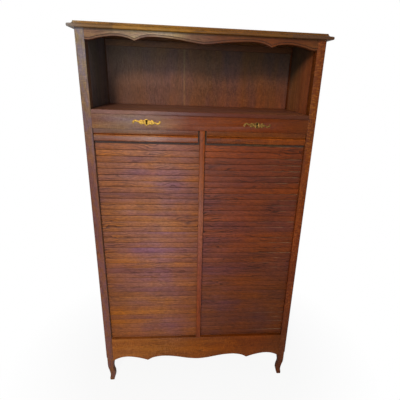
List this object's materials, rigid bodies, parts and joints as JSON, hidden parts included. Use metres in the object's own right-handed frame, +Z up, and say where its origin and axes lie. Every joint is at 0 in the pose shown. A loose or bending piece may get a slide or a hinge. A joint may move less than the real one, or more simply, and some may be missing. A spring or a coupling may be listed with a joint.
{
  "type": "tambour door cabinet",
  "caption": "Tall oak cabinet on cabriole feet: an open display niche above two bays closed by roll-down slatted tambour doors with hook locks.",
  "frame": {"origin": "middle of the footprint on the floor", "axes": "+Z up, +X to the right seen from the front, +Y to the back; the doors face -Y"},
  "size_m": [0.94, 0.396, 1.6163],
  "materials": {
    "case_oak": "stained oak, satin varnish",
    "top_oak": "stained oak, polished varnish",
    "slat_oak": "stained oak slats, satin, on canvas",
    "inside_oak": "stained oak, thin matt varnish",
    "back_oak": "stained oak-faced panel, matt",
    "brass": "cast brass, rubbed",
    "lock_iron": "blackened iron, oiled"
  },
  "bodies": {
    "root": {"top_board": "top_oak", "front_top_rail": "case_oak", "lock_rail": "case_oak", "front_apron": "case_oak", "centre_stile": "case_oak", "centre_partition": "inside_oak", "niche_shelf": "case_oak", "niche_back": "back_oak", "lower_back": "back_oak", "rear_top_rail": "inside_oak", "rear_bottom_rail": "inside_oak", "case_bottom": "inside_oak", "right_front_post": "case_oak", "right_rear_post": "case_oak", "right_side_top_rail": "case_oak", "right_side_bottom_rail": "case_oak", "right_side_panel": "case_oak", "right_side_lining": "inside_oak", "right_bay_floor": "inside_oak", "right_inner_back": "inside_oak", "right_curtain_tail": "slat_oak", "right_lock_case": "lock_iron", "right_key_plate": "brass", "right_shelf_1": "inside_oak", "right_outer_cleat_1": "inside_oak", "right_inner_cleat_1": "inside_oak", "right_shelf_2": "inside_oak", "right_outer_cleat_2": "inside_oak", "right_inner_cleat_2": "inside_oak", "right_shelf_3": "inside_oak", "right_outer_cleat_3": "inside_oak", "right_inner_cleat_3": "inside_oak", "left_front_post": "case_oak", "left_rear_post": "case_oak", "left_side_top_rail": "case_oak", "left_side_bottom_rail": "case_oak", "left_side_panel": "case_oak", "left_side_lining": "inside_oak", "left_bay_floor": "inside_oak", "left_inner_back": "inside_oak", "left_curtain_tail": "slat_oak", "left_lock_case": "lock_iron", "left_key_plate": "brass", "left_shelf_1": "inside_oak", "left_outer_cleat_1": "inside_oak", "left_inner_cleat_1": "inside_oak", "left_shelf_2": "inside_oak", "left_outer_cleat_2": "inside_oak", "left_inner_cleat_2": "inside_oak", "left_shelf_3": "inside_oak", "left_outer_cleat_3": "inside_oak", "left_inner_cleat_3": "inside_oak"},
    "right_tambour": {"right_lead_rail": "case_oak", "right_curtain": "slat_oak", "right_strike_plate": "brass"},
    "right_hook": {"right_lock_hook": "lock_iron"},
    "left_tambour": {"left_lead_rail": "case_oak", "left_curtain": "slat_oak", "left_strike_plate": "brass"},
    "left_hook": {"left_lock_hook": "lock_iron"}
  },
  "joints": [
    {"name": "right_tambour_slide", "type": "slide", "parent": "root", "child": "right_tambour", "axis": [0, 0, -1], "range_m": [0, 0.949], "deforming": ["right_curtain"]},
    {"name": "right_hook_turn", "type": "hinge", "parent": "root", "child": "right_hook", "pos_m": [0.2145, -0.163, 1.2645], "axis": [0, 1, 0], "range_deg": [0, 100]},
    {"name": "left_tambour_slide", "type": "slide", "parent": "root", "child": "left_tambour", "axis": [0, 0, -1], "range_m": [0, 0.949], "deforming": ["left_curtain"]},
    {"name": "left_hook_turn", "type": "hinge", "parent": "root", "child": "left_hook", "pos_m": [-0.2145, -0.163, 1.2645], "axis": [0, -1, 0], "range_deg": [0, 100]}
  ]
}
